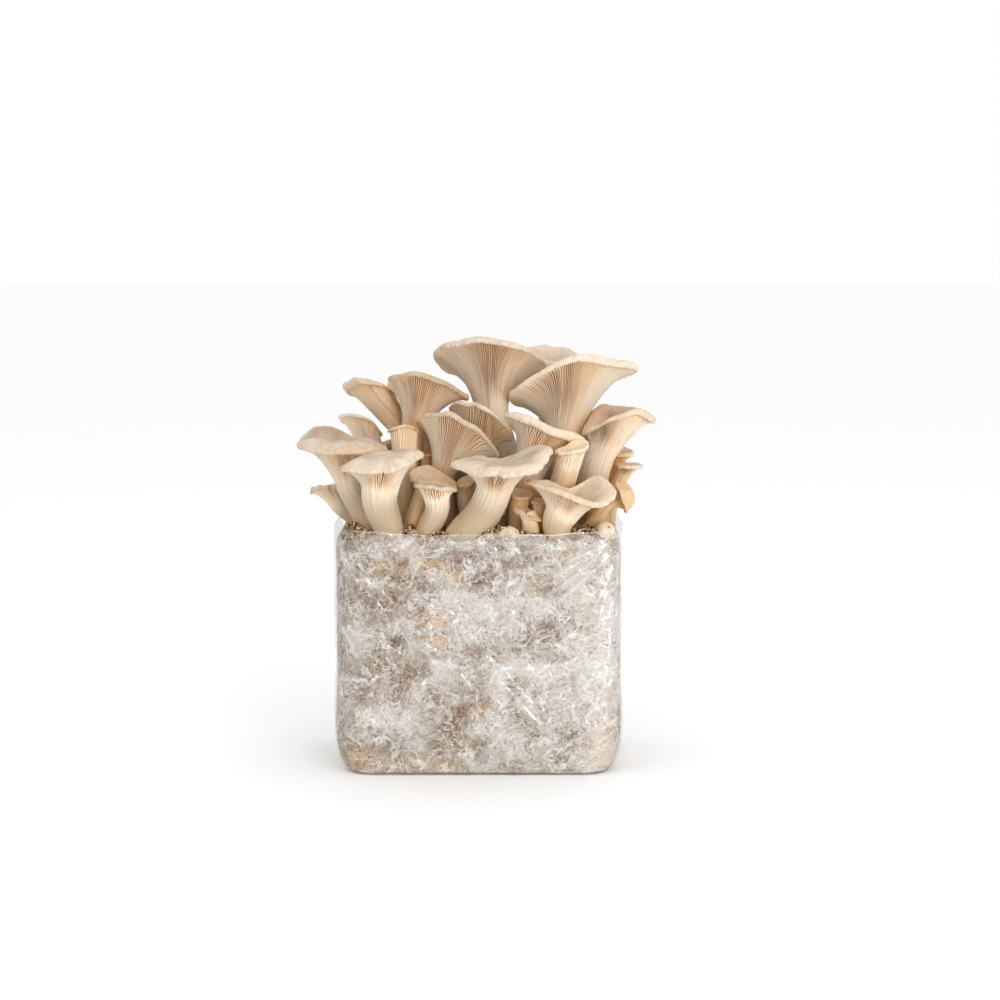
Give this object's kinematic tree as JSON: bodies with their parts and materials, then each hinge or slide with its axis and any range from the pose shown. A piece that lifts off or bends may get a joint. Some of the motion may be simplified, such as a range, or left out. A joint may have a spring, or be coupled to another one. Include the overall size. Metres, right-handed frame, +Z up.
{
  "type": "oyster mushroom grow kit",
  "caption": "Clear film bag cut open at the top round a block of sawdust grown through with mycelium, with a crowded cluster of oyster mushrooms fruiting from its top.",
  "frame": {"origin": "middle of the bag's flat base", "axes": "+Z up along the kit's height, +X to the right along the bag's wide front face, +Y from the front face to the back"},
  "size_m": [0.2576, 0.1734, 0.3096],
  "materials": {
    "clear_film": "clear, glossy, lightly wrinkled",
    "colonised_sawdust": "matt, sawdust bound by white mycelium, brown in patches",
    "mushroom_flesh": "smooth and softly matt, beige cap with cream gills and stem"
  },
  "bodies": {
    "root": {"film_bag": "clear_film", "substrate_block": "colonised_sawdust", "mushroom_tall_left": "mushroom_flesh", "mushroom_tall_right": "mushroom_flesh", "mushroom_tall_back": "mushroom_flesh", "mushroom_left_twin_large": "mushroom_flesh", "mushroom_left_twin_small": "mushroom_flesh", "mushroom_left_back_small": "mushroom_flesh", "mushroom_left_shelf": "mushroom_flesh", "mushroom_front_left": "mushroom_flesh", "mushroom_far_left_low": "mushroom_flesh", "mushroom_left_stump": "mushroom_flesh", "mushroom_middle_left": "mushroom_flesh", "mushroom_middle_back": "mushroom_flesh", "mushroom_front_pair_rear": "mushroom_flesh", "mushroom_front_pair_front": "mushroom_flesh", "mushroom_front_centre": "mushroom_flesh", "mushroom_front_shadow": "mushroom_flesh", "mushroom_left_gap": "mushroom_flesh", "mushroom_right_folded": "mushroom_flesh", "mushroom_right_folded_small": "mushroom_flesh", "mushroom_right_leaning": "mushroom_flesh", "mushroom_right_small_upper": "mushroom_flesh", "mushroom_right_small_lower": "mushroom_flesh", "mushroom_front_right": "mushroom_flesh", "mushroom_right_curled": "mushroom_flesh", "mushroom_front_button": "mushroom_flesh", "mushroom_front_stub": "mushroom_flesh", "mushroom_front_cup": "mushroom_flesh", "mushroom_back_left_shelf": "mushroom_flesh", "mushroom_back_left": "mushroom_flesh", "mushroom_back_middle": "mushroom_flesh", "mushroom_back_middle_low": "mushroom_flesh", "mushroom_back_right": "mushroom_flesh", "mushroom_back_right_low": "mushroom_flesh", "mushroom_back_far_left_low": "mushroom_flesh", "mushroom_back_gap": "mushroom_flesh"}
  },
  "joints": []
}
